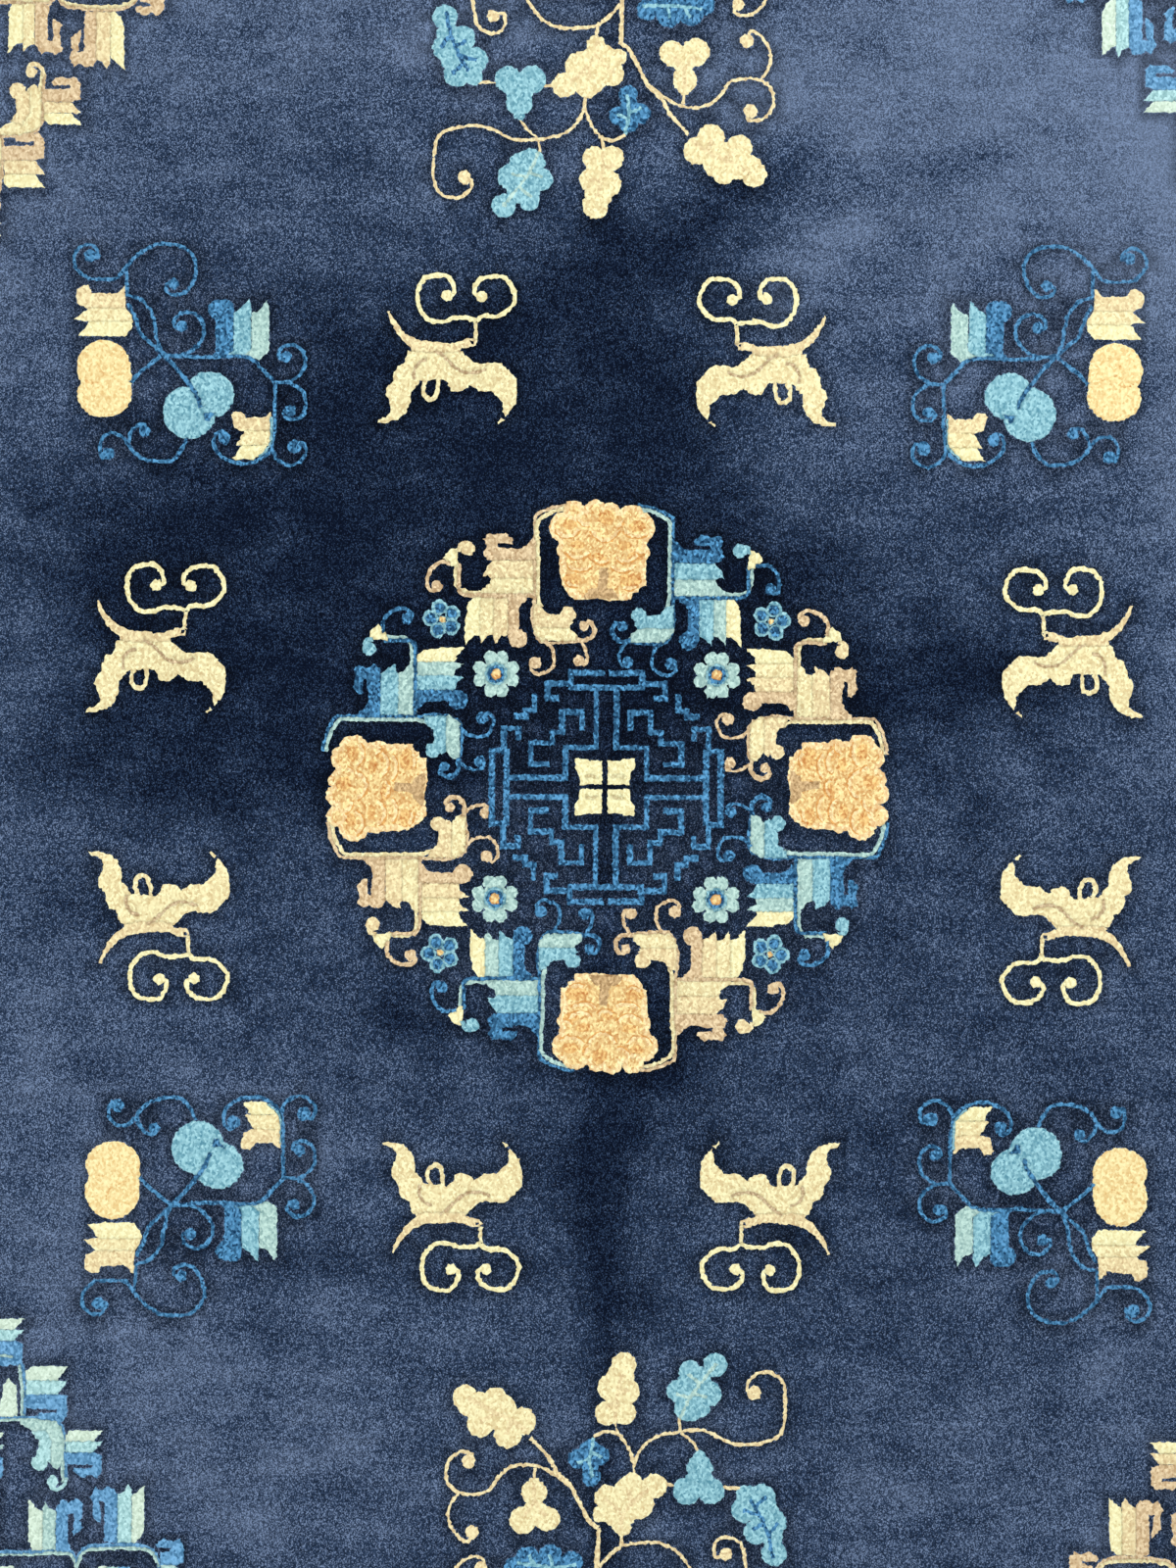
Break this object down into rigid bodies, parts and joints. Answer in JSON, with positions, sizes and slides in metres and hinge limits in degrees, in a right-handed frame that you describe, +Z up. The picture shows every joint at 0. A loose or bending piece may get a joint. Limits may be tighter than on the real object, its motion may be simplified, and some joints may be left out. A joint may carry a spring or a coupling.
{
  "type": "chinese rug",
  "caption": "Large flat hand-knotted wool rug, a rectangle with soft folds on top, overcast sides and short woven ends, that lies on a floor.",
  "frame": {"origin": "middle of the flat underside", "axes": "+X across the width, +Y along the length, towards the end that is at the top of the picture, +Z up out of the pile"},
  "size_m": [2.74, 3.66, 0.0154],
  "materials": {
    "navy_wool": "matt cut wool pile in deep navy blue, with figures in cream, gold and lighter blues",
    "cotton_web": "undyed cotton warp and weft, seen at the ends and on the underside"
  },
  "bodies": {
    "root": {"rug": "navy_wool"}
  },
  "joints": []
}
